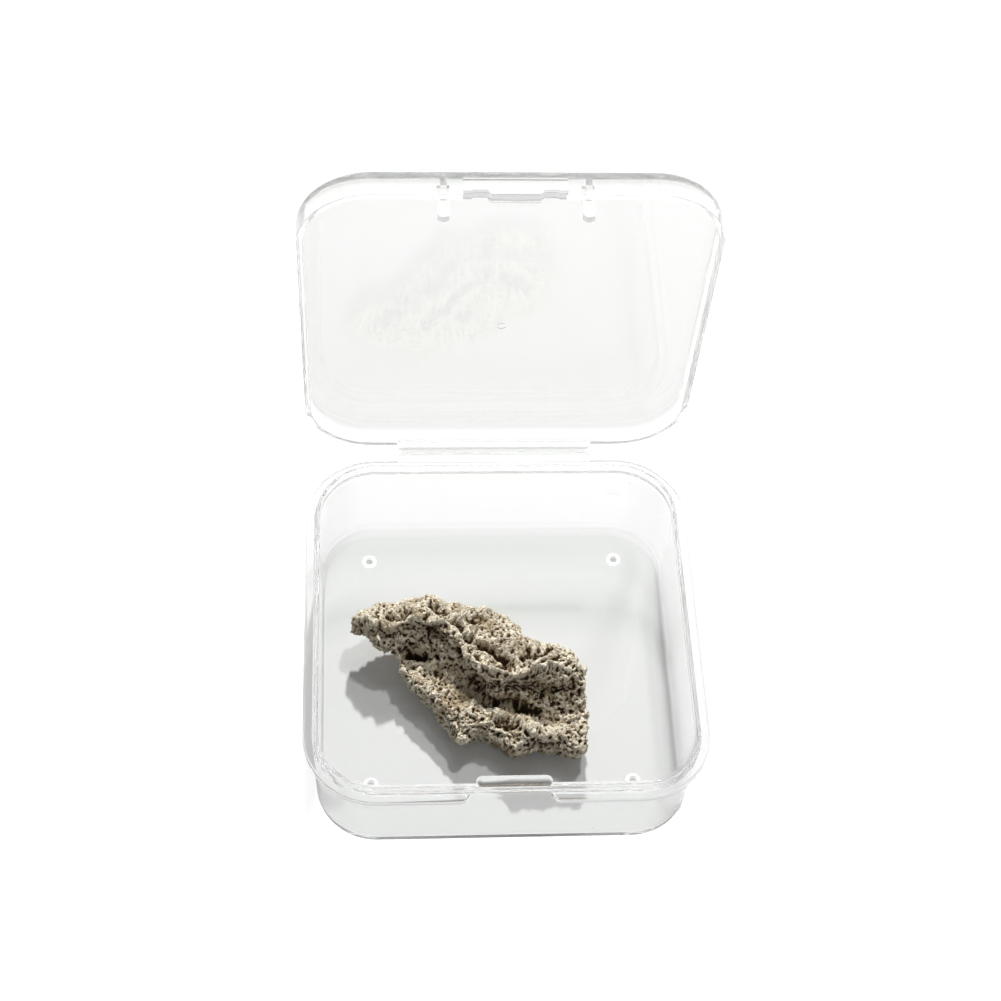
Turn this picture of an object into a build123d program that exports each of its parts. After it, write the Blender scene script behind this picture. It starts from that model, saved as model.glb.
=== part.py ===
from build123d import *
import os

# Hinged clear display box for a small mineral specimen.
# Units are millimetres, +Z is up, the front of the box faces -Y and the origin is
# the centre of the underside. The lid is written out standing open.

# ---- Footprint shared by the tray flange and the lid ----
box_side = 55.0
corner_radius = 10.0

# ---- Heights of the tray ----
floor_thickness = 1.0
shelf_z = 15.7
flange_thickness = 1.3
lip_height = 1.0

# ---- Tray rim and walls ----
flange_overhang = 1.15
wall_thickness = 0.9
outer_draft = 0.35
inner_draft = 0.15
lip_thickness = 0.5
flange_edge_radius = 0.3
foot_edge_radius = 1.0
floor_fillet_radius = 0.5
lip_edge_radius = 0.2

# ---- Moulded ring marks on the tray floor ----
ring_inset = 6.85
ring_pattern_y = 0.65
ring_outer_diameter = 2.0
ring_inner_diameter = 1.2
ring_height = 0.3

# ---- Lid ----
seat_gap = 0.1
lid_depth = 4.2
lid_panel_thickness = 1.0
lid_skirt_thickness = 0.9
lid_corner_thickening = 1.6
lid_outer_edge_radius = 0.7
lid_inner_edge_radius = 0.3
lid_free_edge_radius = 0.12
lid_open_angle = 88.4

# ---- Living hinge across the back ----
hinge_width = 28.5
hinge_tab_length = 1.2
hinge_tab_thickness = 1.0
hinge_tab_corner_radius = 0.6
fold_gap = 0.3
film_clearance = 0.05
film_web_thickness = 0.25

# ---- Latch plate on the front of the lid skirt ----
tongue_width = 6.7
tongue_overhang = 0.55
tongue_chamfer = 0.3
latch_shoulder = 3.15
latch_start_depth = 0.7
latch_groove_from_panel = 2.1
latch_groove_width = 0.45
latch_groove_recess = 0.3
latch_upper_proud = 0.5
latch_lower_proud = 0.8
relief_width = 1.9
relief_depth = 0.3
relief_gap_from_tongue = 0.15

# ---- Gap in the front of the flange, which takes the latch tongue ----
gap_side_clearance = 2.05
gap_flare = 0.85
gap_corner_radius = 0.8
gap_overrun = 1.0

# ---- Catch lug on the front of the tray lip ----
lug_width_top = 10.1
lug_width_neck = 7.6
lug_centre_x = 0.4
lug_neck_inset = 0.05
bead_radius = 0.8
bead_height = 1.8
bead_clearance = 0.16
bead_end_radius = 0.75

# ---- Two guide prongs inside the lid front ----
prong_spacing = 18.2
prong_centre_x = 0.2
prong_width = 1.6
prong_thickness = 1.0
prong_clearance = 0.25
prong_reach = 1.6
prong_tip_radius = 0.7
prong_web_thickness = 0.8
prong_web_clearance = 0.2

# ---- Gate mark on the lid panel ----
gate_diameter = 1.2
gate_offset_y = 3.7
gate_depth = 0.15

# ---- Mineral specimen ----
specimen_floor_gap = 0.1
specimen_foot_inset = 0.5
specimen_flank_inset = 0.3
# Cross sections from the left tip to the right end. Each row holds the place along X and
# the height of the underside, then five points: the front edge, the ledge crest, the
# valley behind it, the main crest and the back edge. A point is its place along Y and
# its height. Heights are taken from the lowest underside; the left end is lifted.
specimen_sections = (
    (-21.2, 4.4, (4.3, 4.9), (4.6, 5.4), (5.1, 5.8), (5.8, 6.0), (6.6, 5.2)),
    (-20.3, 4.1, (3.4, 4.9), (3.7, 5.7), (4.4, 6.1), (5.4, 6.4), (7.0, 5.1)),
    (-19.0, 3.8, (2.5, 4.9), (2.9, 5.9), (3.9, 6.3), (5.1, 6.9), (7.7, 5.0)),
    (-16.6, 3.6, (1.0, 5.0), (1.5, 6.2), (2.7, 6.6), (4.6, 7.6), (8.8, 4.9)),
    (-14.8, 3.0, (0.5, 4.8), (1.0, 6.0), (2.3, 6.1), (4.4, 8.0), (9.0, 5.0)),
    (-14.0, 2.2, (-1.6, 3.4), (-0.9, 4.4), (1.4, 4.6), (4.4, 8.1), (9.1, 5.1)),
    (-13.2, 1.2, (-3.6, 2.4), (-2.6, 4.2), (1.0, 3.9), (4.5, 8.1), (9.3, 5.3)),
    (-10.0, 0.0, (-6.9, 2.4), (-5.2, 4.4), (0.0, 4.1), (4.5, 8.2), (9.8, 5.8)),
    (-8.2, 0.0, (-10.2, 2.6), (-7.4, 4.7), (-1.2, 4.1), (3.1, 8.2), (9.2, 5.9)),
    (-6.0, 0.0, (-12.6, 3.0), (-9.2, 4.9), (-3.6, 4.1), (0.2, 8.2), (8.1, 6.0)),
    (-3.0, 0.0, (-11.8, 3.6), (-9.6, 5.0), (-6.6, 4.0), (-4.2, 8.2), (6.9, 6.0)),
    (1.5, 0.0, (-14.6, 3.7), (-11.2, 5.1), (-8.0, 4.1), (-5.4, 8.3), (5.0, 6.1)),
    (5.5, 0.0, (-14.2, 3.7), (-12.0, 4.9), (-9.4, 3.9), (-4.9, 8.1), (1.6, 6.2)),
    (8.6, 0.0, (-14.8, 3.6), (-12.8, 4.7), (-10.0, 3.8), (-4.4, 7.9), (0.9, 6.0)),
    (11.2, 0.0, (-14.6, 3.4), (-12.0, 4.6), (-9.2, 3.7), (-4.8, 7.3), (-0.8, 5.6)),
    (12.0, 0.0, (-13.8, 3.3), (-11.4, 4.2), (-9.1, 3.6), (-5.1, 6.4), (-2.2, 4.8)),
)

# ---- Derived sizes, half widths measured from the centre plane ----
box_half = box_side / 2
corner_centre = box_half - corner_radius
wall_outer_half_rim = box_half - flange_overhang
wall_outer_half_foot = wall_outer_half_rim - outer_draft
cavity_half_top = wall_outer_half_rim - wall_thickness
cavity_half_foot = cavity_half_top - inner_draft
lip_outer_half = cavity_half_top + lip_thickness
lid_skirt_inner_half = box_half - lid_skirt_thickness
prong_outer_half = cavity_half_top - prong_clearance
bead_centre_y = -lid_skirt_inner_half + bead_clearance + bead_radius
ring_half_pitch = cavity_half_foot - ring_inset

# ---- Derived heights ----
flange_underside_z = shelf_z - flange_thickness
lip_top_z = shelf_z + lip_height
bead_centre_z = shelf_z + bead_height
lid_edge_z = shelf_z + seat_gap
lid_top_z = lid_edge_z + lid_depth
lid_ceiling_z = lid_top_z - lid_panel_thickness

# ---- Derived hinge and latch places ----
tab_end_y = box_half + hinge_tab_length
hinge_axis_y = tab_end_y + fold_gap
hinge_axis_z = shelf_z + seat_gap / 2
hinge_axis = Axis((0, hinge_axis_y, hinge_axis_z), (1, 0, 0))
film_radius = fold_gap - film_clearance
latch_width = tongue_width + 2 * latch_shoulder
gap_width_inner = tongue_width + 2 * gap_side_clearance
gap_width_outer = gap_width_inner + 2 * gap_flare


def rounded_block(half_low, half_high, z_low, z_high):
    """Square block with rounded corners, drafted between two half widths."""
    low = RectangleRounded(2 * half_low, 2 * half_low, half_low - corner_centre)
    high = RectangleRounded(2 * half_high, 2 * half_high, half_high - corner_centre)
    return loft([Plane.XY.offset(z_low) * low, Plane.XY.offset(z_high) * high], ruled=True)


def block(x_low, x_high, y_low, y_high, z_low, z_high):
    """Plain block given by its six limits."""
    size = Box(x_high - x_low, y_high - y_low, z_high - z_low)
    return Pos((x_low + x_high) / 2, (y_low + y_high) / 2, (z_low + z_high) / 2) * size


def edges_at(shape, z):
    """Edges that lie wholly at one height."""
    return shape.edges().filter_by_position(Axis.Z, z, z)


def side_profile(points, width):
    """Solid made from an outline in the YZ plane, centred across X."""
    outline = Polyline(*[(0, y, z) for y, z in points], close=True)
    return extrude(make_face(outline), amount=width / 2, dir=(1, 0, 0), both=True)


def make_flange():
    """Rim flange, open at the front for the latch tongue."""
    flange = rounded_block(box_half, box_half, flange_underside_z, shelf_z)
    gap_outline = Polyline(
        (-gap_width_outer / 2, -box_half),
        (-gap_width_inner / 2, -wall_outer_half_rim),
        (gap_width_inner / 2, -wall_outer_half_rim),
        (gap_width_outer / 2, -box_half),
        (gap_width_outer / 2, -box_half - gap_overrun),
        (-gap_width_outer / 2, -box_half - gap_overrun),
        close=True,
    )
    gap = Pos(0, 0, flange_underside_z) * extrude(
        make_face(gap_outline), amount=shelf_z - flange_underside_z
    )
    flange = flange - gap
    ends = flange.edges().filter_by(Axis.Z).filter_by_position(
        Axis.Y, -box_half - gap_corner_radius, -box_half + gap_corner_radius
    )
    flange = fillet(ends, gap_corner_radius)
    rim = edges_at(flange, shelf_z) + edges_at(flange, flange_underside_z)
    against_wall = rim.filter_by_position(
        Axis.Y, -wall_outer_half_rim - flange_edge_radius, -wall_outer_half_rim
    ).filter_by(Axis.X)
    return fillet(rim - against_wall, flange_edge_radius)


def make_base_tray():
    """Tray with floor, drafted walls, flange, lip, catch lug and hinge tab."""
    wall = rounded_block(wall_outer_half_foot, wall_outer_half_rim, 0, shelf_z)
    wall = fillet(edges_at(wall, 0), foot_edge_radius)
    lip = rounded_block(lip_outer_half, lip_outer_half, shelf_z, lip_top_z)
    lip = fillet(edges_at(lip, lip_top_z), lip_edge_radius)
    cavity = rounded_block(cavity_half_foot, cavity_half_top, floor_thickness, lip_top_z)
    cavity = fillet(edges_at(cavity, floor_thickness), floor_fillet_radius)
    tray = wall + make_flange() + lip + make_base_tab() - cavity
    tray = tray + make_lug()
    for x in (-ring_half_pitch, ring_half_pitch):
        for y in (ring_pattern_y - ring_half_pitch, ring_pattern_y + ring_half_pitch):
            ring = Circle(ring_outer_diameter / 2) - Circle(ring_inner_diameter / 2)
            tray = tray + Pos(x, y, floor_thickness) * extrude(ring, amount=ring_height)
    return tray


def make_lug():
    """Catch lug: a waisted neck that carries a level bead across the front lip."""
    neck_back = -cavity_half_top - lug_neck_inset
    neck_front = -lip_outer_half + lug_neck_inset
    neck_outline = Polyline(
        (-lug_width_neck / 2, neck_front, lip_top_z - lip_edge_radius),
        (lug_width_neck / 2, neck_front, lip_top_z - lip_edge_radius),
        (lug_width_top / 2 - bead_end_radius, neck_front, bead_centre_z),
        (-lug_width_top / 2 + bead_end_radius, neck_front, bead_centre_z),
        close=True,
    )
    neck = extrude(make_face(neck_outline), amount=neck_back - neck_front, dir=(0, 1, 0))
    bead = Pos(0, bead_centre_y, bead_centre_z) * Rot(0, 90, 0) * Cylinder(
        bead_radius, lug_width_top
    )
    bead = fillet(bead.edges().filter_by(GeomType.CIRCLE), bead_end_radius)
    return Pos(lug_centre_x, 0, 0) * (neck + bead)


def make_base_tab():
    """Hinge tab that carries the film on the tray side."""
    tab = block(
        -hinge_width / 2,
        hinge_width / 2,
        wall_outer_half_rim,
        tab_end_y,
        shelf_z - hinge_tab_thickness,
        shelf_z,
    )
    ends = tab.edges().filter_by(Axis.Z).group_by(Axis.Y)[-1]
    return fillet(ends, hinge_tab_corner_radius)


def make_hinge_film():
    """Thin living-hinge bead on the fold line, with a web back to the tray tab."""
    bead = Pos(0, hinge_axis_y, hinge_axis_z) * Rot(0, 90, 0) * Cylinder(
        film_radius, hinge_width - 2 * hinge_tab_corner_radius
    )
    web = block(
        -hinge_width / 2 + hinge_tab_corner_radius,
        hinge_width / 2 - hinge_tab_corner_radius,
        tab_end_y,
        hinge_axis_y,
        shelf_z - film_web_thickness,
        shelf_z,
    )
    return bead + web


def make_latch_plate():
    """Stepped finger plate on the skirt, with the tongue that enters the flange gap."""
    start_z = lid_top_z - latch_start_depth
    groove_top_z = lid_top_z - latch_groove_from_panel
    groove_bottom_z = groove_top_z - latch_groove_width
    upper_y = -box_half - latch_upper_proud
    lower_y = -box_half - latch_lower_proud
    plate = side_profile(
        (
            (-box_half + lid_skirt_thickness / 2, start_z),
            (-box_half, start_z),
            (upper_y, start_z - latch_upper_proud),
            (upper_y, groove_top_z),
            (upper_y + latch_groove_recess, groove_bottom_z + latch_groove_width / 2),
            (lower_y, groove_bottom_z),
            (lower_y, lid_edge_z),
            (-box_half + lid_skirt_thickness / 2, lid_edge_z),
        ),
        latch_width,
    )
    tongue = block(
        -tongue_width / 2,
        tongue_width / 2,
        lower_y,
        -lid_skirt_inner_half,
        lid_edge_z - tongue_overhang,
        lid_edge_z + tongue_overhang,
    )
    corners = tongue.edges().filter_by(Axis.Y).group_by(Axis.Z)[0]
    return plate + chamfer(corners, tongue_chamfer)


def make_prong(x):
    """Guide prong with its web to the skirt, for one side."""
    tip_z = lid_edge_z - prong_reach
    prong = block(
        x - prong_width / 2,
        x + prong_width / 2,
        -prong_outer_half,
        -prong_outer_half + prong_thickness,
        tip_z,
        lid_ceiling_z,
    )
    tip = prong.edges().filter_by(Axis.Y).group_by(Axis.Z)[0]
    prong = fillet(tip, prong_tip_radius)
    web = block(
        x - prong_web_thickness / 2,
        x + prong_web_thickness / 2,
        -lid_skirt_inner_half,
        -prong_outer_half,
        lip_top_z + prong_web_clearance,
        lid_ceiling_z,
    )
    return prong + web


def make_lid():
    """Lid in its closed place, then swung open about the fold line."""
    shell = rounded_block(box_half, box_half, lid_edge_z, lid_top_z)
    shell = fillet(edges_at(shell, lid_top_z), lid_outer_edge_radius)
    hollow_side = 2 * lid_skirt_inner_half
    hollow_corner = corner_radius - lid_corner_thickening
    hollow_outline = RectangleRounded(hollow_side, hollow_side, hollow_corner)
    hollow = Pos(0, 0, lid_edge_z) * extrude(hollow_outline, amount=lid_ceiling_z - lid_edge_z)
    hollow = fillet(edges_at(hollow, lid_ceiling_z), lid_inner_edge_radius)
    lid = shell - hollow
    lid = fillet(edges_at(lid, lid_edge_z), lid_free_edge_radius)
    tab = block(
        -hinge_width / 2,
        hinge_width / 2,
        box_half - lid_skirt_thickness / 2,
        tab_end_y,
        lid_edge_z,
        lid_edge_z + hinge_tab_thickness,
    )
    tab = fillet(tab.edges().filter_by(Axis.Z).group_by(Axis.Y)[-1], hinge_tab_corner_radius)
    lid = lid + tab + make_latch_plate()
    for side in (-1, 1):
        lid = lid + make_prong(prong_centre_x + side * prong_spacing / 2)
    relief_centre = tongue_width / 2 + relief_gap_from_tongue + relief_width / 2
    for x in (-relief_centre, relief_centre):
        lid = lid - block(
            x - relief_width / 2,
            x + relief_width / 2,
            -box_half - latch_lower_proud,
            -lid_skirt_inner_half,
            lid_edge_z,
            lid_edge_z + relief_depth,
        )
    gate = extrude(Circle(gate_diameter / 2), amount=gate_depth)
    lid = lid - Pos(0, gate_offset_y, lid_top_z - gate_depth) * gate
    return lid.rotate(hinge_axis, -lid_open_angle)


def specimen_section(row):
    """One cross section: a smooth curve over the top closed by a flat underside."""
    x, underside, front, *over, back = row
    rest_z = floor_thickness + specimen_floor_gap
    front_flank = (front[0] + specimen_flank_inset, (underside + front[1]) / 2)
    back_flank = (back[0] - specimen_flank_inset, (underside + back[1]) / 2)
    front_foot = (front[0] + specimen_foot_inset, underside)
    back_foot = (back[0] - specimen_foot_inset, underside)
    points = [front_foot, front_flank, front, *over, back, back_flank, back_foot]
    placed = [(x, y, rest_z + height) for y, height in points]
    steps = [count / (len(placed) - 1) for count in range(len(placed))]
    over_top = Edge.make_spline(placed, parameters=steps)
    foot = Edge.make_line(placed[-1], placed[0])
    return Face(Wire([over_top, foot]))


def make_specimen():
    """Rough mineral specimen that lies loose on the tray floor."""
    return loft([specimen_section(row) for row in specimen_sections])


os.makedirs("parts", exist_ok=True)
export_step(make_base_tray(), "parts/base_tray.step")
export_step(make_hinge_film(), "parts/hinge_film.step")
export_step(make_lid(), "parts/lid.step")
export_step(make_specimen(), "parts/specimen.step")
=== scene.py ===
import math

import bmesh
import bpy
import numpy as np
from mathutils import Matrix, Vector, noise
from mathutils.bvhtree import BVHTree


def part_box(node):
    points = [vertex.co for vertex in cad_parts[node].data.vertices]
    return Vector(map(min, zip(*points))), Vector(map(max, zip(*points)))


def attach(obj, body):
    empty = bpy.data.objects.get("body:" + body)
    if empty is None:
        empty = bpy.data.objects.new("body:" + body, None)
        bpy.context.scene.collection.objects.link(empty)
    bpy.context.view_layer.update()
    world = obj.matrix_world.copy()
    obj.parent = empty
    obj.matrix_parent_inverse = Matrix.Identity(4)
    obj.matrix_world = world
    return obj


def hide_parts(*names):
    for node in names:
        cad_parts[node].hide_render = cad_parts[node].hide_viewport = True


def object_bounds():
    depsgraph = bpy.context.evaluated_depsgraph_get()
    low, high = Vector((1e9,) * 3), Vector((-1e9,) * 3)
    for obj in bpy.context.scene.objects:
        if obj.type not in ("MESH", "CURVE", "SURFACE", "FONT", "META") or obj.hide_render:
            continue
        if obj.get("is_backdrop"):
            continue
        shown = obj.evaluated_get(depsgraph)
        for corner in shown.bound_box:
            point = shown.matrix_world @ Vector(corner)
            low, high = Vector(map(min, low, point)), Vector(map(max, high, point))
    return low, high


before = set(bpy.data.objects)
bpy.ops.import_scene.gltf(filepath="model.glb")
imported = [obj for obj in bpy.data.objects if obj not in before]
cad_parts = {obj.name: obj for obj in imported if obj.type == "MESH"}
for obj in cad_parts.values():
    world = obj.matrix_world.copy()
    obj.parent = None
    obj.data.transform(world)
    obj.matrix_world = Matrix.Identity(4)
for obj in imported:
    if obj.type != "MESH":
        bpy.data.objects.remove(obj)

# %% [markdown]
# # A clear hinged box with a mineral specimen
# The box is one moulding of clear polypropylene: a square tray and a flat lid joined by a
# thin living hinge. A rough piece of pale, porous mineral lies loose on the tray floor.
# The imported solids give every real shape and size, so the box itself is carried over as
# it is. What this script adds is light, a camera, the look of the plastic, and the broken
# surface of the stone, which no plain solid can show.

MM = 0.001
WHITE = (1, 1, 1, 1)
cad_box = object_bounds()
print("packed box:", [list(corner) for corner in cad_box])

# %% [markdown]
# ## The camera
# The box is looked at from in front and well above, by a long lens from about 29 cm away.
# A camera could be aimed with a tracking constraint. Here it is given by three directions
# of its own, to the right, upwards and forwards, because those are exact. Blender's camera
# looks along its own -Z, so the third column is the forward direction turned back.

# %% Camera
PICTURE_SIDE = 1001
FOCAL_PIXELS = 1961.335
SENSOR_MM = 36.0
NEAREST, FARTHEST = 0.01, 20.0
camera_place = Vector((-18.198, -139.316, 251.061)) * MM
camera_right = Vector((0.99778854, -0.04316183, 0.05054789))
camera_up = Vector((0.0073551, 0.82750754, 0.56140642))
camera_forward = Vector((0.06606009, 0.5597931, -0.825995))

camera_data = bpy.data.cameras.new("camera")
camera_data.sensor_width = SENSOR_MM
camera_data.lens = FOCAL_PIXELS / PICTURE_SIDE * SENSOR_MM
camera_data.clip_start = NEAREST
camera_data.clip_end = FARTHEST
camera = bpy.data.objects.new("camera", camera_data)
turn = Matrix((camera_right, camera_up, -camera_forward)).transposed()
camera.matrix_world = Matrix.Translation(camera_place) @ turn.to_4x4()
bpy.context.scene.collection.objects.link(camera)
bpy.context.scene.camera = camera
print("lens:", round(camera_data.lens, 2), "mm,", round(camera_place.length, 3), "m away")

# %% [markdown]
# ## Small helpers for node trees
# Every light and finish here is a tree of nodes. Nodes could be placed by hand in the
# editor. In a script, one helper that adds a node and sets its inputs, and a few for
# sums, ramps and blends, let each material read as a list of what the real finish is made
# of.

# %% Nodes and their inputs


def set_input(tree, socket, value):
    """Link a socket to another one, or give it a value."""
    if isinstance(value, bpy.types.NodeSocket):
        tree.links.new(value, socket)
    else:
        socket.default_value = value


def add_node(tree, kind, inputs=None, **settings):
    """Add one node, set its own settings and then its input sockets."""
    node = tree.nodes.new(kind)
    for name, value in settings.items():
        setattr(node, name, value)
    for name, value in (inputs or {}).items():
        set_input(tree, node.inputs[name], value)
    return node


print("node helpers:", set_input.__name__, add_node.__name__)

# %% Sums, ramps and blends


def maths(tree, operation, first, second=0.0):
    """One Math node, and its result."""
    return add_node(tree, "ShaderNodeMath", {0: first, 1: second}, operation=operation).outputs[0]


def ramp(tree, value, low, high):
    """Stretch a value so that low becomes 0 and high becomes 1, with soft ends."""
    limits = {"Value": value, "From Min": low, "From Max": high}
    node = add_node(tree, "ShaderNodeMapRange", limits, interpolation_type="SMOOTHSTEP")
    return node.outputs["Result"]


def blend_colour(tree, share, first, second):
    """The colour that is first where share is 0 and second where it is 1."""
    node = add_node(tree, "ShaderNodeMix", {0: share, 6: first, 7: second}, data_type="RGBA")
    return node.outputs[2]


print("value helpers:", maths.__name__, ramp.__name__, blend_colour.__name__)

# %% [markdown]
# ## The surroundings
# The box stands in a white room: plain card under it and pale walls round it. Clear
# plastic has almost no colour of its own, so what shows at its edges is the room. The
# room is white from the floor up and clearly greyer overhead, which gives the thin grey
# lines along the rims. A smooth change with height was chosen over built walls, because
# it has no corners that could turn up in the plastic.

# %% The room as it is seen
SEEN_HORIZON = 1.0
SEEN_OVERHEAD = 0.54
OVERHEAD_BLUE = 1.01
OVERHEAD_STARTS, OVERHEAD_FULL = 0.10, 0.60

world = bpy.data.worlds.new("white_room")
world.use_nodes = True
bpy.context.scene.world = world
tree = world.node_tree
tree.nodes.clear()
direction = add_node(tree, "ShaderNodeTexCoord").outputs["Generated"]
height = add_node(tree, "ShaderNodeSeparateXYZ", {0: direction}).outputs["Z"]
horizon = (SEEN_HORIZON, SEEN_HORIZON, SEEN_HORIZON, 1)
ceiling = (SEEN_OVERHEAD, SEEN_OVERHEAD, SEEN_OVERHEAD * OVERHEAD_BLUE, 1)
overhead = ramp(tree, height, OVERHEAD_STARTS, OVERHEAD_FULL)
walls = blend_colour(tree, overhead, horizon, ceiling)
seen_room = add_node(tree, "ShaderNodeBackground", {"Color": walls, "Strength": 1.0})
print("room seen as", SEEN_HORIZON, "at the horizon and", SEEN_OVERHEAD, "overhead")

# %% [markdown]
# ### The room as a light
# If the room lit solid things as brightly as it is seen, the lamps could draw no shadows.
# Its full white therefore goes only to rays that see it: from the camera, in a reflection
# or through the plastic. Everything else gets a weak, even light from it.

# %% The room as a light
WORLD_LIGHT = 0.18


def rays_that_see(tree):
    """1 for rays from the camera, and 1 for rays that another surface reflects or lets by."""
    path = add_node(tree, "ShaderNodeLightPath").outputs
    reflected, let_by = path["Is Glossy Ray"], path["Is Transmission Ray"]
    return path["Is Camera Ray"], maths(tree, "MAXIMUM", reflected, let_by)


from_camera, passed_on = rays_that_see(tree)
looks = maths(tree, "MAXIMUM", from_camera, passed_on)
light_room = add_node(tree, "ShaderNodeBackground", {"Color": WHITE, "Strength": WORLD_LIGHT})
room = add_node(
    tree,
    "ShaderNodeMixShader",
    {0: looks, 1: light_room.outputs[0], 2: seen_room.outputs[0]},
)
add_node(tree, "ShaderNodeOutputWorld", {"Surface": room.outputs[0]})
print("room lights at", WORLD_LIGHT)

# %% [markdown]
# ## The floor
# A sheet of white card. One flat grid is enough for it. It is far wider than the box, and
# it lies a hair below the tray, so that the clear underside and the card never share one
# plane.

# %% Floor
FLOOR_SIDE = 6.0
FLOOR_SQUARES = 8
FLOOR_DROP = 0.05 * MM

floor_mesh = bpy.data.meshes.new("floor")
shape = bmesh.new()
bmesh.ops.create_grid(
    shape, x_segments=FLOOR_SQUARES, y_segments=FLOOR_SQUARES, size=FLOOR_SIDE / 2
)
bmesh.ops.translate(shape, verts=shape.verts, vec=(0, 0, -FLOOR_DROP))
shape.to_mesh(floor_mesh)
shape.free()
floor = bpy.data.objects.new("floor", floor_mesh)
bpy.context.scene.collection.objects.link(floor)
floor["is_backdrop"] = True
print("floor side:", FLOOR_SIDE, "m")

# %% [markdown]
# ### White card
# The card takes the shadow of the box and of the stone, so it is a real diffuse surface.
# A share of its own glow, only for rays that look at it, lifts it to the white of the room
# without putting more light on the box. Far from the box, where the lamps hardly reach,
# that glow grows, so that the card runs into the room without a grey horizon.

# %% How much the card glows
FLOOR_GLOW_SEEN = 0.55
FLOOR_GLOW_THROUGH = 0.05
FAR_START = 0.15
FAR_END = 1.10
FAR_GLOW = 0.55


def new_material(name):
    """An empty node material, its tree and its output node."""
    material = bpy.data.materials.new(name)
    material.use_nodes = True
    material.node_tree.nodes.clear()
    output = add_node(material.node_tree, "ShaderNodeOutputMaterial")
    return material, material.node_tree, output


white_card, tree, output = new_material("white_card")
from_camera, passed_on = rays_that_see(tree)
glow = maths(tree, "MULTIPLY", from_camera, FLOOR_GLOW_SEEN)
glow = maths(tree, "ADD", glow, maths(tree, "MULTIPLY", passed_on, FLOOR_GLOW_THROUGH))
place = add_node(tree, "ShaderNodeTexCoord").outputs["Object"]
distance = add_node(tree, "ShaderNodeVectorMath", {0: place}, operation="LENGTH")
far = ramp(tree, distance.outputs["Value"], FAR_START, FAR_END)
far = maths(tree, "MULTIPLY", far, FAR_GLOW)
looks = maths(tree, "MAXIMUM", from_camera, passed_on)
glow = maths(tree, "ADD", glow, maths(tree, "MULTIPLY", looks, far))
print("card glows", FLOOR_GLOW_SEEN, "near and", FLOOR_GLOW_SEEN + FAR_GLOW, "far away")

# %% The card itself
CARD_GREY = 0.82
CARD_ROUGHNESS = 0.9
CARD_SHINE = 0.1

card = add_node(
    tree,
    "ShaderNodeBsdfPrincipled",
    {
        "Base Color": (CARD_GREY, CARD_GREY, CARD_GREY, 1),
        "Roughness": CARD_ROUGHNESS,
        "Specular IOR Level": CARD_SHINE,
        "Emission Color": WHITE,
        "Emission Strength": glow,
    },
)
tree.links.new(card.outputs[0], output.inputs["Surface"])
floor_mesh.materials.append(white_card)
print("floor is finished in", white_card.name)

# %% [markdown]
# ## The lamps
# Two soft lamps stand behind the box. The main one is lower, so that the stone throws a
# shadow towards the viewer and its steep front face stays dark. The second stands higher
# and a little to the right, and lights the ledge in front of that face. Spots would do,
# but square panels give the shadows their slightly soft edge. The panels are left out of
# reflections and of what is seen through the plastic, so no bright square shows in the
# polished tray.
# The power follows from the light that should arrive. A panel of P watts at d metres gives
# P / (pi d^2) on a surface that faces it, and a white floor that gets E shows E / pi.

# %% Lamps


def add_lamp(name, towards, distance, side, level):
    """A square lamp that brings a share of full white to the floor, from a direction."""
    away = Vector(towards).normalized()
    lamp = bpy.data.lights.new(name, "AREA")
    lamp.shape = "SQUARE"
    lamp.size = side
    lamp.energy = level * math.pi / away.z * math.pi * distance**2
    holder = bpy.data.objects.new(name, lamp)
    holder.matrix_world = Matrix.Translation(away * distance) @ (
        away.to_track_quat("Z", "Y").to_matrix().to_4x4()
    )
    holder.visible_glossy = False
    holder.visible_transmission = False
    bpy.context.scene.collection.objects.link(holder)
    print(name, "at", [round(x, 3) for x in holder.matrix_world.translation], "m")
    print(name, "gives", round(lamp.energy, 2), "W")


add_lamp("back_lamp", towards=(0.10, 1.14, 1.0), distance=0.90, side=0.035, level=0.71)
add_lamp("high_lamp", towards=(0.24, 0.49, 1.0), distance=0.80, side=0.05, level=0.29)

# %% [markdown]
# ## The surface of clear polypropylene
# The real plastic is clear but faintly milky. Its surface copies the polished mould, with
# slow ripples, fine polishing marks and a few specks of dust. Such marks could be painted
# on, but they are the same in every clear piece, so they are one node group, placed in
# each material with its own amounts. The group puts out only a colour, a roughness and a
# height.

# %% Sockets of the group
surface_marks = bpy.data.node_groups.new("moulded_surface", "ShaderNodeTree")
for name, kind, value in (
    ("Tint", "NodeSocketColor", (0.95, 0.96, 0.95, 1)),
    ("Ripple", "NodeSocketFloat", 1.0),
    ("Scuffs", "NodeSocketFloat", 1.0),
    ("Dust", "NodeSocketFloat", 1.0),
    ("Polish", "NodeSocketFloat", 0.03),
):
    socket = surface_marks.interface.new_socket(name, in_out="INPUT", socket_type=kind)
    socket.default_value = value
for name, kind in (
    ("Colour", "NodeSocketColor"),
    ("Roughness", "NodeSocketFloat"),
    ("Height", "NodeSocketFloat"),
):
    surface_marks.interface.new_socket(name, in_out="OUTPUT", socket_type=kind)
given = add_node(surface_marks, "NodeGroupInput").outputs
place = add_node(surface_marks, "ShaderNodeTexCoord").outputs["Object"]
print("node group:", surface_marks.name)

# %% Ripples and polishing marks
RIPPLES_PER_METRE = 90.0
SCUFF_TURN = (0.3, 0.2, 0.6)
SCUFFS_PER_METRE = (500.0, 9000.0, 3000.0)
SCUFF_STARTS, SCUFF_FULL = 0.60, 0.78

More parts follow.
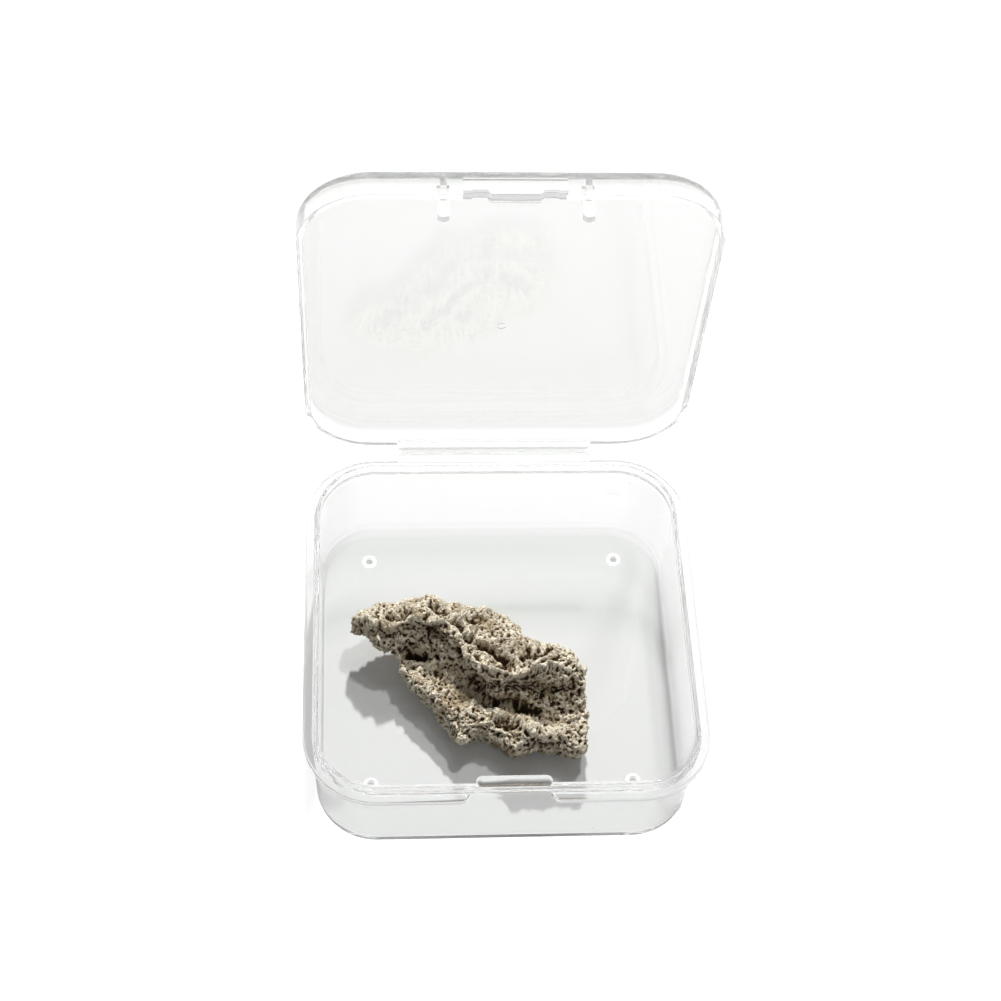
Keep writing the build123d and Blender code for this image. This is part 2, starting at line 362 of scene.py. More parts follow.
ripple = add_node(
    surface_marks,
    "ShaderNodeTexNoise",
    {"Vector": place, "Scale": RIPPLES_PER_METRE, "Detail": 0.0},
).outputs[0]
stretched = add_node(
    surface_marks,
    "ShaderNodeMapping",
    {"Vector": place, "Rotation": SCUFF_TURN, "Scale": SCUFFS_PER_METRE},
).outputs[0]
marks = add_node(
    surface_marks, "ShaderNodeTexNoise", {"Vector": stretched, "Scale": 1.0, "Detail": 2.0}
).outputs[0]
scuffs = ramp(surface_marks, marks, SCUFF_STARTS, SCUFF_FULL)
scuffs = maths(surface_marks, "MULTIPLY", scuffs, given["Scuffs"])
print("ripples about", round(1000 / RIPPLES_PER_METRE), "mm apart")

# %% Specks of dust
SPECKS_PER_METRE = 240.0
SPECK_EDGE, SPECK_MIDDLE = 0.07, 0.03
RARE, RAREST = 0.80, 0.84

cells = add_node(
    surface_marks,
    "ShaderNodeTexVoronoi",
    {"Vector": place, "Scale": SPECKS_PER_METRE, "Randomness": 1.0},
)
speck = ramp(surface_marks, cells.outputs["Distance"], SPECK_EDGE, SPECK_MIDDLE)
chosen = add_node(surface_marks, "ShaderNodeSeparateColor", {0: cells.outputs["Color"]})
chosen = ramp(surface_marks, chosen.outputs[0], RARE, RAREST)
dust = maths(surface_marks, "MULTIPLY", speck, chosen)
dust = maths(surface_marks, "MULTIPLY", dust, given["Dust"])
print("a speck in about one cell of", round(1 / (1 - RARE)))

# %% What the group puts out
SCUFF_ROUGHNESS = 0.10
DUST_ROUGHNESS = 0.4
DUST_HEIGHT = 0.3
DUST_COLOUR = (0.80, 0.80, 0.78, 1)

roughness = maths(surface_marks, "MULTIPLY", scuffs, SCUFF_ROUGHNESS)
roughness = maths(surface_marks, "ADD", roughness, given["Polish"])
dusty = maths(surface_marks, "MULTIPLY", dust, DUST_ROUGHNESS)
roughness = maths(surface_marks, "ADD", roughness, dusty)
height = maths(surface_marks, "MULTIPLY", ripple, given["Ripple"])
raised = maths(surface_marks, "MULTIPLY", dust, DUST_HEIGHT)
height = maths(surface_marks, "ADD", height, raised)
colour = blend_colour(surface_marks, dust, given["Tint"], DUST_COLOUR)
add_node(
    surface_marks,
    "NodeGroupOutput",
    {"Colour": colour, "Roughness": roughness, "Height": height},
)
print("nodes in the group:", len(surface_marks.nodes))

# %% [markdown]
# ## Where clear plastic gets painted glow or painted shade
# Clear plastic carries light along its walls and lets it out where it ends. So rims,
# walls, the catch, the lid's skirt and prongs, and the little rings on the floor look
# whiter than the panels. Following that light through every wall would take very long,
# so a faint painted glow of the surface itself stands for it. The middle of each ring and
# the panel of the lid look darker instead, and get a greyer tint as painted shade. Masks
# say where, two for the tray and two for the lid. They read the piece's own coordinates,
# and their numbers are the heights and places of the imported solids.

# %% Bands and places
SOFT = 0.1 * MM


def band(tree, value, low, high):
    """A mask that is 1 between two values and falls off softly outside them."""
    rise = ramp(tree, value, low - SOFT, low)
    fall = ramp(tree, value, high + SOFT, high)
    return maths(tree, "MULTIPLY", rise, fall)


def place_parts(tree):
    """The piece's own coordinates, as three separate values."""
    place = add_node(tree, "ShaderNodeTexCoord").outputs["Object"]
    parts = add_node(tree, "ShaderNodeSeparateXYZ", {0: place}).outputs
    return parts["X"], parts["Y"], parts["Z"]


print("a band fades over", SOFT / MM, "mm")

# %% The four rings on the floor
RING_HALF_PITCH = 18.45 * MM
RING_MIDDLE_Y = 0.65 * MM
RING_INNER, RING_OUTER = 0.55 * MM, 1.05 * MM
RING_BOTTOM, RING_TOP = 1.05 * MM, 1.6 * MM
RING_SHARE = 8.0
DISC_INNER = 0.8 * RING_INNER
DISC_BOTTOM = 0.8 * MM


def from_ring_centre(tree, x, y):
    """Distance over the floor from the centre of the nearest of the four rings."""
    across = maths(tree, "SUBTRACT", maths(tree, "ABSOLUTE", x), RING_HALF_PITCH)
    along = maths(tree, "ABSOLUTE", maths(tree, "SUBTRACT", y, RING_MIDDLE_Y))
    along = maths(tree, "SUBTRACT", along, RING_HALF_PITCH)
    across = maths(tree, "MULTIPLY", across, across)
    along = maths(tree, "MULTIPLY", along, along)
    return maths(tree, "SQRT", maths(tree, "ADD", across, along))


def ring_masks(tree, x, y, z):
    """The rings that get a painted glow, and their middles that get painted shade."""
    radius = from_ring_centre(tree, x, y)
    ring = band(tree, radius, RING_INNER, RING_OUTER)
    ring = maths(tree, "MULTIPLY", ring, band(tree, z, RING_BOTTOM, RING_TOP))
    # The middle of each ring gets a greyer tint as painted shade.
    inside = ramp(tree, radius, RING_INNER, DISC_INNER)
    painted_disc_shade = maths(tree, "MULTIPLY", inside, band(tree, z, DISC_BOTTOM, RING_TOP))
    return maths(tree, "MULTIPLY", ring, RING_SHARE), painted_disc_shade


print("rings:", round(2 * RING_OUTER / MM, 1), "mm wide,", 2 * RING_HALF_PITCH / MM, "mm apart")

# %% The tray's rim and walls
RIM_TOP = 15.7 * MM
RIM_DEPTH = 1.3 * MM
WALL_START = 24.8 * MM
WALL_FADE = 0.3 * MM
WALL_SHARE = 0.45


def tray_painted_light(tree):
    """Painted glow on the rim, catch, walls and rings of the tray, painted shade in ring middles.
    """
    x, y, z = place_parts(tree)
    rim = ramp(tree, z, RIM_TOP - RIM_DEPTH - SOFT, RIM_TOP - RIM_DEPTH)
    outwards = maths(tree, "MAXIMUM", maths(tree, "ABSOLUTE", x), maths(tree, "ABSOLUTE", y))
    wall = ramp(tree, outwards, WALL_START, WALL_START + WALL_FADE)
    bright = maths(tree, "MAXIMUM", rim, maths(tree, "MULTIPLY", wall, WALL_SHARE))
    rings, discs = ring_masks(tree, x, y, z)
    return maths(tree, "ADD", bright, rings), discs


print("rim glows above", round((RIM_TOP - RIM_DEPTH) / MM, 2), "mm")

# %% [markdown]
# ### The lid and the hinge film
# The open lid leans a little, so a mask by depth alone would let its painted glow leak into
# the panel. The mask is cut along the leaning plane instead. The film is thin and whitened
# by bending, and all of it gets a little painted glow for that. That is one value, so it
# needs no mask: it goes straight on the shader.

# %% The lid's skirt, and the film
LID_LEAN = 0.0279
SKIRT_START, SKIRT_FULL = 1.4 * MM, 2.4 * MM
SKIRT_SHARE = 1.6
FILM_SHARE = 0.15


def lid_painted_light(tree):
    """Painted glow on the lid's skirt and prongs, painted shade on its panel, which leans a
    little.
    """
    _, y, z = place_parts(tree)
    low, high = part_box("lid")
    leaned = maths(tree, "ADD", y, maths(tree, "MULTIPLY", z, LID_LEAN))
    forward = maths(tree, "SUBTRACT", high[1] + LID_LEAN * low[2], leaned)
    skirt = ramp(tree, forward, SKIRT_START, SKIRT_FULL)
    return maths(tree, "MULTIPLY", skirt, SKIRT_SHARE), maths(tree, "SUBTRACT", 1.0, skirt)


def film_painted_glow(tree):
    """An even painted glow over the whole film, and no painted shade, so no nodes."""
    return (FILM_SHARE, FILM_SHARE, FILM_SHARE, 1), None


print("lid panel leans", round(math.degrees(math.atan(LID_LEAN)), 2), "degrees")

# %% [markdown]
# ## What lamp light meets
# A lamp's rays would be stopped by bending glass until they found a way round, and the
# tray would throw a solid shadow. So for those rays, and for light that bounces off solid
# things, the plastic is a plain tinted sheet. It stops more where it is met at a slant,
# which draws the soft grey shadows of the walls and rims.

# %% A tinted sheet
SHEET_FACING = (0.965, 0.968, 0.965, 1)
SHEET_SLANTED = (0.40, 0.40, 0.40, 1)
SLANT_STARTS = 0.60


def lamp_sheet(tree):
    """The tinted sheet that lamp light and bounced light meet."""
    slant = add_node(tree, "ShaderNodeLayerWeight", {"Blend": 0.5}).outputs["Facing"]
    slant = ramp(tree, slant, SLANT_STARTS, 1.0)
    passed = blend_colour(tree, slant, SHEET_FACING, SHEET_SLANTED)
    return add_node(tree, "ShaderNodeBsdfTransparent", {"Color": passed}).outputs[0]


print("one wall lets", SHEET_FACING[1], "through, or", SHEET_SLANTED[1], "along its edge")

# %% [markdown]
# ## The plastic as a shader
# A plain see-through surface would be quick, but glass that bends light gives the true
# edges: a wall seen end-on gathers the room in thin bright and grey lines. A small part of
# the shader is plain white, for the milkiness.

# %% Clear plastic
PLASTIC_IOR = 1.49
MARKS_STRENGTH = 0.25
MARKS_DEPTH = 0.2 * MM
PAINTED_GLOW = 0.035
TINT = (0.95, 0.955, 0.95, 1)


def clear_plastic(name, clear, amounts, edges, painted_shade_tint):
    """Clear moulded plastic with its own marks, its own painted glow, and any painted shade."""
    material, tree, output = new_material(name)
    marks = add_node(tree, "ShaderNodeGroup", amounts, node_tree=surface_marks).outputs
    bump = {"Height": marks["Height"], "Strength": MARKS_STRENGTH, "Distance": MARKS_DEPTH}
    # The masks give a painted glow, and painted shade that turns the tint greyer.
    bright, dark = edges(tree)
    colour = blend_colour(tree, dark, marks["Colour"], painted_shade_tint) if painted_shade_tint else TINT
    body = add_node(
        tree,
        "ShaderNodeBsdfPrincipled",
        {
            "Base Color": colour,
            "Roughness": marks["Roughness"],
            "IOR": PLASTIC_IOR,
            "Transmission Weight": clear,
            "Normal": add_node(tree, "ShaderNodeBump", bump).outputs[0],
            "Emission Color": bright,
            "Emission Strength": PAINTED_GLOW,
        },
    ).outputs[0]
    sheet = lamp_sheet(tree)
    path = add_node(tree, "ShaderNodeLightPath").outputs
    for ray in ("Is Shadow Ray", "Is Diffuse Ray"):
        body = add_node(
            tree, "ShaderNodeMixShader", {0: path[ray], 1: body, 2: sheet}
        ).outputs[0]
    tree.links.new(body, output.inputs["Surface"])
    return material


print("refractive index:", PLASTIC_IOR)

# %% [markdown]
# ## Finishing the tray, the lid and the film
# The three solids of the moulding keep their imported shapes, and each gets its own copy of
# the plastic: the tray a few specks of dust, the upright lid fainter ones, and the film a
# rougher, milkier skin without any.

# %% Dress the moulding
RIPPLE = 0.15
# Painted shade: the greyer tints of the ring middles and of the lid's panel.
PAINTED_RING_SHADE = (0.45, 0.45, 0.45, 1)
PAINTED_PANEL_SHADE = (0.86, 0.865, 0.855, 1)


def mark_amounts(scuffs, dust, polish):
    """How strong each mark of the moulded surface is on one piece."""
    return {"Tint": TINT, "Ripple": RIPPLE, "Scuffs": scuffs, "Dust": dust, "Polish": polish}


def dress(node_name, material):
    """Give a carried-over piece of the frame its finish."""
    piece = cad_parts[node_name]
    piece.data.materials.clear()
    piece.data.materials.append(material)
    print(node_name, "is finished in", material.name)


tray_marks = mark_amounts(scuffs=1.0, dust=1.0, polish=0.02)
lid_marks = mark_amounts(scuffs=1.0, dust=0.4, polish=0.02)
film_marks = mark_amounts(scuffs=1.4, dust=0.0, polish=0.05)
for node_name, name, clear, amounts, edges, painted_shade_tint in (
    ("base_tray", "tray_plastic", 0.97, tray_marks, tray_painted_light, PAINTED_RING_SHADE),
    ("lid", "lid_plastic", 0.97, lid_marks, lid_painted_light, PAINTED_PANEL_SHADE),
    ("hinge_film", "hinge_plastic", 0.90, film_marks, film_painted_glow, None),
):
    dress(node_name, clear_plastic(name, clear, amounts, edges, painted_shade_tint))

# %% [markdown]
# ## The stone
# The specimen is a pale, porous crust: lumpy on the scale of millimetres, pitted on the
# scale of tenths, with an upper slab, a steep face under its front crest, a deep groove
# and a ledge in front. Modelling each pit by hand isn't practical, and the plain solid has
# too few faces to carry them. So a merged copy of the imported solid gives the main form, a
# voxel remesh gives it an even skin of small faces, and the skin is then moved in two
# steps, first the large relief and then noise.

# %% The stone's skin
VOXEL = 0.15 * MM
SAME_POINT = 0.0001 * MM

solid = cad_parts["specimen"]
skin = bmesh.new()
skin.from_mesh(solid.data)
bmesh.ops.remove_doubles(skin, verts=skin.verts, dist=SAME_POINT)
surface = BVHTree.FromBMesh(skin)
stone_mesh = bpy.data.meshes.new("mineral_specimen")
skin.to_mesh(stone_mesh)
skin.free()
stone = bpy.data.objects.new("mineral_specimen", stone_mesh)
bpy.context.scene.collection.objects.link(stone)
remesh = stone.modifiers.new("even_skin", "REMESH")
remesh.mode = "VOXEL"
remesh.voxel_size = VOXEL
evaluated = stone.evaluated_get(bpy.context.evaluated_depsgraph_get())
stone_mesh = bpy.data.meshes.new_from_object(evaluated)
stone_mesh.name = "mineral_specimen"
stone.modifiers.clear()
stone.data = stone_mesh
print("stone skin:", len(stone_mesh.vertices), "points")

# %% [markdown]
# ## The large relief
# A real crust has curled ridges and eaten-out hollows a few millimetres wide. They could be
# sculpted with a brush, but a script needs them written down. Each one here is a route
# over the stone, drawn as the camera sees it: the line of sight through a pixel meets the
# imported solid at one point, and the skin rises or sinks round that point. A route has a
# height and a half width in millimetres, and then its points in pixels.

# %% Ridges
RIDGES = {
    "crest over the steep face": (0.8, 0.6, (
        (463, 648), (470, 661), (484, 667), (503, 669),
        (517, 673), (531, 670), (546, 667), (583, 668),
    )),
    "upper edge of the ledge": (0.9, 0.8, (
        (472, 704), (488, 712), (509, 714), (522, 719),
        (532, 726), (547, 733), (563, 729), (580, 716),
    )),
    "second curl of the ledge": (0.6, 0.4, ((524, 728), (546, 740), (564, 737))),
    "curl beside the right hollow": (1.2, 0.45, ((530, 661), (537, 664), (546, 659), (554, 653))),
    "last curl of the slab": (0.9, 0.40, ((550, 664), (560, 667), (566, 660))),
    "ridge of the left lobe": (0.8, 0.6, (
        (356, 618), (378, 624), (394, 626), (405, 619), (416, 613),
    )),
    "knob of the left lobe": (0.3, 1.2, ((420, 612), (426, 620))),
    "ridge to the middle": (0.9, 0.6, (
        (433, 621), (446, 620), (454, 624), (462, 636), (474, 645),
    )),
    "shelf of the left face": (0.6, 0.5, ((420, 666), (437, 664), (446, 660))),
    "spikes of the front": (0.9, 0.8, ((461, 737),)),
    "front knob": (0.6, 1.0, ((512, 747), (518, 748))),
    "bump of the back edge": (1.3, 1.0, ((489, 613),)),
    "right bump of the back edge": (0.9, 0.9, ((545, 645),)),
    "front corner": (0.8, 1.0, ((580, 746),)),
    "ledge tip": (0.6, 0.8, ((401, 671),)),
}
print("ridges:", len(RIDGES))

# %% Hollows
HOLLOWS = {
    "groove under the face": (-1.1, 0.6, (
        (466, 680), (471, 689), (483, 698), (494, 702), (509, 703), (524, 707), (536, 713),
    )),
    "right end of the groove": (-0.6, 0.6, ((556, 704), (563, 712))),
    "shaded foot of the slab": (-1.2, 1.1, ((463, 668), (474, 680))),
    "cleft between lobe and ledge": (-1.4, 0.4, ((397, 654), (410, 654), (424, 657))),
    "deep hole": (-2.6, 1.1, ((458, 622), (463, 627), (469, 633))),
    "groove of the slab": (-1.6, 0.7, ((470, 636), (486, 646), (504, 654))),
    "pitted patch": (-0.9, 0.9, ((495, 659), (508, 662))),
    "right hollow": (-1.9, 1.0, ((528, 654), (540, 650), (550, 645))),
    "hole of the right hollow": (-0.6, 0.5, ((533, 660),)),
    "last hollow": (-0.4, 0.7, ((557, 659), (562, 655))),
    "left hollow": (-1.7, 0.9, ((380, 611), (392, 614), (404, 614))),
    "brown hollow": (-1.8, 1.1, ((434, 602), (444, 610), (452, 617))),
    "shaded hollow": (-0.8, 1.2, ((426, 633), (443, 637))),
    "holes of the left face": (-1.1, 0.7, ((452, 649), (456, 658))),
    # Like every hollow, the steep face also darkens the colour as painted shade.
    "steep face": (-1.3, 1.4, ((476, 686), (498, 690), (520, 692), (545, 694), (572, 692))),
    "ledge hollow": (-1.1, 0.8, ((497, 723), (514, 725))),
    "notch left of the front knob": (-0.5, 0.6, ((486, 729), (497, 736))),
    "notch right of the front knob": (-0.5, 0.7, ((537, 740), (550, 745))),
    "notch of the back edge": (-1.5, 0.9, ((472, 617),)),
    "right notch of the back edge": (-1.2, 0.9, ((530, 646),)),
}
print("hollows:", len(HOLLOWS))

# %% [markdown]
# ### From pixels to the stone
# A ray from the camera through a pixel gives one point of the solid. Should a ray just miss
# the stone's edge, the nearest point of the solid to where it passes is taken. Points
# close together along the straight runs between them make a route, and the distance of
# each point of the skin to the route then says how far it moves.

# %% Routes over the stone
PICTURE_CENTRE = (PICTURE_SIDE - 1) / 2
STEP = 0.25 * MM
STONE_MIDDLE = 3 * MM


def on_stone(px, py):
    """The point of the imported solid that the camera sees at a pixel."""
    across = (px - PICTURE_CENTRE) / FOCAL_PIXELS
    down = (py - PICTURE_CENTRE) / FOCAL_PIXELS
    sight = (camera_forward + camera_right * across - camera_up * down).normalized()
    point = surface.ray_cast(camera_place, sight)[0]
    if point is None:
        reach = (STONE_MIDDLE - camera_place.z) / sight.z
        point = surface.find_nearest(camera_place + sight * reach)[0]
    return point


def route_points(route):
    """Points close together along a route over the stone."""
    corners = [on_stone(*pixel) for pixel in route]
    points = [corners[0]]
    for start, end in zip(corners, corners[1:]):
        count = max(1, round((end - start).length / STEP))
        points += [start.lerp(end, (i + 1) / count) for i in range(count)]
    return np.array([tuple(point) for point in points])


def distance_to(points, route):
    """How far each point lies from the nearest point of a route."""
    square = (points**2).sum(1)[:, None] + (route**2).sum(1)[None, :] - 2 * points @ route.T
    return np.sqrt(np.maximum(square.min(1), 0))


crest = route_points(RIDGES["crest over the steep face"][2])
print("the crest lies", round(crest[:, 2].max() / MM, 1), "mm up at its highest")

# %% [markdown]
# ### The skin as arrays
# With tens of thousands of points, arrays are much faster than a loop over vertices. The
# directions in which the points move are averaged over their neighbours first, because
# raw ones would make sharp ridges fold over themselves.

# %% Points and directions
CALMING_ROUNDS = 30


def vertex_array(mesh, field):
    """Coordinates or normals of every point, one row each."""
    data = np.zeros(len(mesh.vertices) * 3, np.float32)
    if field == "co":
        mesh.vertices.foreach_get("co", data)
    else:
        mesh.vertex_normals.foreach_get("vector", data)
    return data.reshape(-1, 3).astype(float)


def calmed(values, mesh, rounds):
    """Average each point's values with its neighbours', a few times over."""
    ends = np.zeros(len(mesh.edges) * 2, np.int32)
    mesh.edges.foreach_get("vertices", ends)
    first, second = ends.reshape(-1, 2).T
    joined = np.concatenate((first, second))
    other = np.concatenate((second, first))
    count = np.bincount(joined, minlength=len(values))[:, None]
    values = values.reshape(len(values), -1)
    for _ in range(rounds):
        total = [np.bincount(joined, column[other], len(values)) for column in values.T]
        values = 0.5 * values + 0.5 * np.stack(total, 1) / count
    return values.squeeze()


place = vertex_array(stone_mesh, "co")
normal = calmed(vertex_array(stone_mesh, "normal"), stone_mesh, CALMING_ROUNDS)
normal /= np.linalg.norm(normal, axis=1)[:, None]
print("skin from", place.min(0) / MM, "to", place.max(0) / MM, "mm")

# %% [markdown]
# ### Raising and sinking
# Straight routes would look drawn with a ruler. So the skin's points are first swayed by
# soft noise, only for measuring how far they lie from a route, which makes each ridge and
# groove wander. How far a hollow sinks is kept for the colour, as painted shade.

# %% Soft noise
CLOUD_SHIFT = (17.3, 5.7, 11.1)
CLOUD_FALL = 0.75
CLOUD_FINER = 2.1


def noise_places(points, size, seed, shift):
    """Where to read a noise of the given size; each seed reads it somewhere else."""
    offset = Vector([seed * part for part in shift])
    return [Vector(point) / size + offset for point in points]


def cloud(points, size, seed, octaves=2):
    """Smooth seeded noise between about -1 and 1, with lumps of about the given size."""
    places = noise_places(points, size, seed, CLOUD_SHIFT)
    return np.array([noise.fractal(p, CLOUD_FALL, CLOUD_FINER, octaves) for p in places])


origin = np.zeros((1, 3))
print("soft noise at the origin:", cloud(origin, MM, seed=1).round(3))

# %% Raise the ridges and sink the hollows
SWAY_SIZE = 2.2 * MM
SWAY = 0.45
SWAY_SEEDS = (11, 12, 13)

sway = np.stack([cloud(place, SWAY_SIZE, seed) for seed in SWAY_SEEDS], 1)
swayed = place + sway * SWAY * MM
relief = np.zeros(len(place))
sinking_for_shade = np.zeros(len(place))
for height, width, route in (*RIDGES.values(), *HOLLOWS.values()):
    share = np.exp(-((distance_to(swayed, route_points(route)) / (width * MM)) ** 2))
    relief += height * share
    sinking_for_shade = np.maximum(sinking_for_shade, -height * share)
print("relief:", round(relief.min(), 2), "to", round(relief.max(), 2), "mm")

# %% [markdown]
# ## The broken surface
# Over the relief comes seeded noise of several kinds and sizes: soft lumps, crags with
# sharp edges, small knobs, groups of round pits, and a fine grain. One noise alone would
# look like a sponge or like sand. The seeds are fixed, so the stone is the same each time.

# %% Lumps, crags, knobs and grain
RIDGE_SHIFT = (9.1, 4.3, 13.7)
RIDGE_FALL = 0.85
RIDGE_FINER = 2.3
RIDGE_OCTAVES = 4
RIDGE_LEVEL, RIDGE_GAIN = 1.0, 2.0


def ridges(points, size, seed):
    """Seeded noise of sharp ridges over rounded hollows, between about -1 and 1."""
    shape = (RIDGE_FALL, RIDGE_FINER, RIDGE_OCTAVES, RIDGE_LEVEL, RIDGE_GAIN)
    places = noise_places(points, size, seed, RIDGE_SHIFT)
    return np.array([noise.ridged_multi_fractal(p, *shape) - 1.0 for p in places])


lumps = cloud(swayed, size=4.5 * MM, seed=1)
crags = ridges(swayed, size=3.4 * MM, seed=2)
# A knob stands wherever soft noise passes through zero.
knobs = 0.5 - np.abs(cloud(swayed, size=1.2 * MM, seed=3)) * 2.0
grain = cloud(place, size=0.50 * MM, seed=4)
print("crags from", round(float(crags.min()), 2), "to", round(float(crags.max()), 2))

# %% Groups of pits
PIT_SHIFT = (3.1, 7.9, 2.3)
GROUP_CONTRAST, GROUP_SHARE = 1.6, 0.45
SMALL_PITS = 0.55


def pits(points, size, seed, reach):
    """Round holes, 1 in the middle of a hole and 0 from a share of their spacing on."""
    places = noise_places(points, size, seed, PIT_SHIFT)
    nearest = np.array([noise.voronoi(p)[0][0] for p in places])
    return np.clip(1.0 - nearest / reach, 0, 1)


grouped = cloud(place, size=2.6 * MM, seed=5) * GROUP_CONTRAST + GROUP_SHARE
grouped = np.clip(grouped, 0, 1)
holes = pits(place, size=0.9 * MM, seed=6, reach=0.42)
holes += SMALL_PITS * pits(place, size=0.50 * MM, seed=7, reach=0.45)
print("share of the skin in holes:", round(float((holes * grouped > 0).mean()), 2))

# %% [markdown]
# ### Moving the skin
# The noise is lowered as a whole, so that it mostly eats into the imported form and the
# stone doesn't grow. No point may go below a thin gap over the tray floor.

# %% Rough the stone
LUMPS = 0.34
CRAGS = 0.50
KNOBS = 0.27
PITS = 0.12
GRAIN = 0.22
OUTER_SHARE = 0.9
FLOOR_TOP_MM, GAP_MM = 1.0, 0.08

rough = LUMPS * lumps + CRAGS * crags + KNOBS * knobs + GRAIN * grain
rough -= PITS * grouped * holes
rough -= rough.mean() + OUTER_SHARE * rough.std()
push = relief + rough
moved = place + normal * (push * MM)[:, None]
moved[:, 2] = np.maximum(moved[:, 2], (FLOOR_TOP_MM + GAP_MM) * MM)
stone_mesh.vertices.foreach_set("co", moved.astype(np.float32).ravel())
stone_mesh.update()
stone_mesh.polygons.foreach_set("use_smooth", np.ones(len(stone_mesh.polygons), bool))
print("stone box:", moved.min(0) / MM, moved.max(0) / MM)

# %% [markdown]
# ### How deep each point lies
# Where the skin is lower than what lies round it, the colour darkens as painted shade. How
# low it lies could be guessed in the material, but it is known here exactly: a point's own
# push is taken from the average of its neighbours', near and far. The result is kept with
# the mesh for that painted shade.

# %% Depth of the pits, for painted shade
NEAR_ROUNDS, FAR_ROUNDS = 12, 90
DEPTH_BASE = 0.08
NEAR_SHARE = 4.0
FAR_SHARE = 0.6
SINKING_SHADE_SHARE = 0.22

near_depth = calmed(push, stone_mesh, NEAR_ROUNDS) - push
far_depth = calmed(push, stone_mesh, FAR_ROUNDS) - push
# Painted shade: the lower a point lies, and the more its hollow sank, the darker its colour.
depth = DEPTH_BASE + NEAR_SHARE * near_depth + FAR_SHARE * far_depth + SINKING_SHADE_SHARE * sinking_for_shade
depth = np.clip(depth, 0, 1)
attribute = stone_mesh.attributes.new("painted_pit_shade", "FLOAT", "POINT")
attribute.data.foreach_set("value", depth.astype(np.float32))
print("mean pit depth:", round(float(depth.mean()), 3))

# %% [markdown]
# ## The stone's colour
# Dry cream and tan grains stand out. The shallow hollows turn earth brown, partly the
# stone's own colour and partly painted shade, and the pits and grooves get a much darker
# brown, which is painted shade. The depth of each pit was kept with the mesh, so this
# painted shade follows the shape. Grains and curled furrows finer than the mesh can hold
# come from noise: they add to the depth, so that they get the same painted shade.

# %% Depth of the fine marks, for painted shade
PATCHES_PER_METRE = 260.0
FINE_PER_METRE = 1900.0
CURLS_PER_METRE = 800.0
GRAIN_CONTRAST = 1.5
FURROW_EDGE = 0.06
FURROW_SHARE = 0.34

porous_mineral, tree, output = new_material("porous_mineral")
place = add_node(tree, "ShaderNodeTexCoord").outputs["Object"]
depth = add_node(tree, "ShaderNodeAttribute", attribute_name="painted_pit_shade").outputs["Fac"]
fine = {"Scale": FINE_PER_METRE, "Detail": 4.0, "Roughness": 0.6, "Distortion": 1.2}
fine = add_node(tree, "ShaderNodeTexNoise", {"Vector": place, **fine}).outputs[0]
curls = {"Scale": CURLS_PER_METRE, "Detail": 2.0, "Roughness": 0.55, "Distortion": 1.8}
curls = add_node(tree, "ShaderNodeTexNoise", {"Vector": place, **curls}).outputs[0]
grainy = maths(tree, "MULTIPLY", maths(tree, "SUBTRACT", 0.5, fine), GRAIN_CONTRAST)
furrow = maths(tree, "ABSOLUTE", maths(tree, "SUBTRACT", curls, 0.5))
furrow = maths(tree, "MULTIPLY", ramp(tree, furrow, FURROW_EDGE, 0.0), FURROW_SHARE)
hollow = maths(tree, "ADD", maths(tree, "ADD", depth, grainy), furrow)
print("furrows deepen the colour by up to", FURROW_SHARE)

# %% Colours from dry grain to painted shade in the pits
CREAM = (1.0, 0.91, 0.73, 1)
TAN = (0.62, 0.50, 0.34, 1)
EARTH = (0.36, 0.26, 0.145, 1)
SHADE = (0.045, 0.027, 0.012, 1)
TAN_STARTS, TAN_FULL = 0.45, 0.70
EARTH_STARTS, EARTH_FULL = 0.12, 0.50
SHADE_STARTS, SHADE_FULL = 0.42, 0.95

patch = {"Vector": place, "Scale": PATCHES_PER_METRE, "Detail": 3.0}
patch = add_node(tree, "ShaderNodeTexNoise", patch).outputs[0]
colour = blend_colour(tree, ramp(tree, patch, TAN_STARTS, TAN_FULL), CREAM, TAN)
colour = blend_colour(tree, ramp(tree, hollow, EARTH_STARTS, EARTH_FULL), colour, EARTH)
colour = blend_colour(tree, ramp(tree, hollow, SHADE_STARTS, SHADE_FULL), colour, SHADE)
print("tan patches about", round(1000 / PATCHES_PER_METRE), "mm apart")

# %% [markdown]
# ### The stone's finish
# Dry mineral hardly shines. The fine noise also gives the bump, with small round grains
# on it and the furrows cut into it, and it varies the roughness a little.

# %% Finish the stone
GRAINS_PER_METRE = 2400.0
GRAIN_HEIGHT = 0.4
FURROW_HEIGHT = 1.2
BUMP_DEPTH = 0.4 * MM
ROUGH_BASE, ROUGH_SPAN = 0.72, 0.2
STONE_SHINE = 0.25

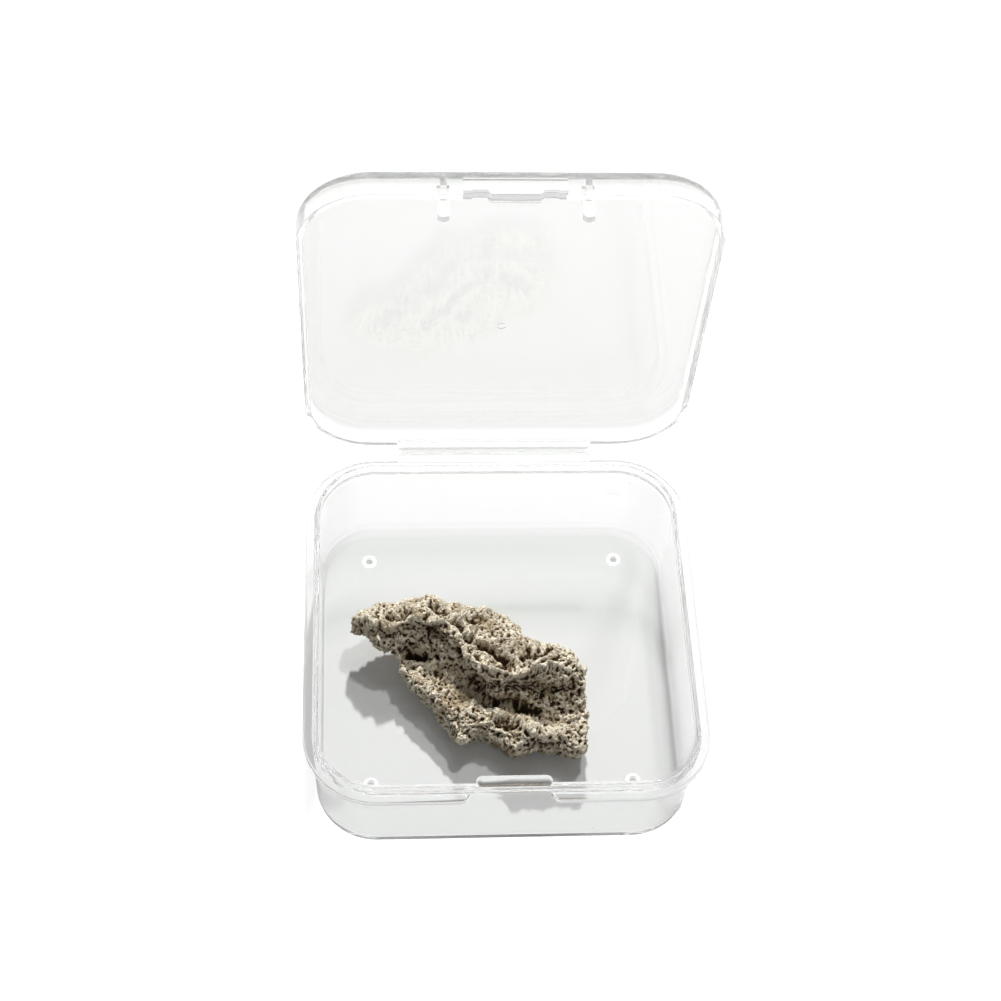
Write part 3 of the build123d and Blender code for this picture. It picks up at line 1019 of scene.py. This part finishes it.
dots = add_node(tree, "ShaderNodeTexVoronoi", {"Vector": place, "Scale": GRAINS_PER_METRE})
dots = maths(tree, "MULTIPLY", dots.outputs["Distance"], GRAIN_HEIGHT)
height = maths(tree, "ADD", fine, dots)
height = maths(tree, "SUBTRACT", height, maths(tree, "MULTIPLY", furrow, FURROW_HEIGHT))
bump = {"Height": height, "Strength": 1.0, "Distance": BUMP_DEPTH}
body = add_node(
    tree,
    "ShaderNodeBsdfPrincipled",
    {
        "Base Color": colour,
        "Roughness": maths(tree, "ADD", maths(tree, "MULTIPLY", fine, ROUGH_SPAN), ROUGH_BASE),
        "Specular IOR Level": STONE_SHINE,
        "Normal": add_node(tree, "ShaderNodeBump", bump).outputs[0],
    },
)
tree.links.new(body.outputs[0], output.inputs["Surface"])
stone_mesh.materials.clear()
stone_mesh.materials.append(porous_mineral)
print("stone faces:", len(stone_mesh.polygons))

# %% [markdown]
# ## The stone takes its place
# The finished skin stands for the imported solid, which is hidden and kept for the physics.
# It rides on the same body, so it lifts out of the tray as the solid does.

# %% Put the stone on its body
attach(stone, "specimen")
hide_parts("specimen")
print(stone.name, "replaces specimen")

# %% [markdown]
# ## Light paths
# Clear walls stand behind clear walls, so a ray needs many steps to get through them all,
# and with too few the plastic turns black. Light focused by the plastic would only speckle
# the floor, so it is left out. The Standard view keeps colours as they are written.

# %% Light paths
MOST_STEPS = 64

cycles = bpy.context.scene.cycles
cycles.max_bounces = MOST_STEPS
cycles.transmission_bounces = MOST_STEPS
cycles.glossy_bounces = MOST_STEPS
cycles.transparent_max_bounces = MOST_STEPS
cycles.caustics_refractive = False
cycles.caustics_reflective = False
bpy.context.scene.view_settings.view_transform = "Standard"
print("steps of light:", MOST_STEPS)

# %% [markdown]
# ## Size
# Dressing a part must not change its size, so the box of the imported model and the box of
# the dressed one are put side by side, and the last line prints the dressed one.

# %% Size
boxes = {"cad": cad_box, "visual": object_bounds()}
boxes = {name: [list(map(float, corner)) for corner in box] for name, box in boxes.items()}
print("dressed box:", boxes["visual"])
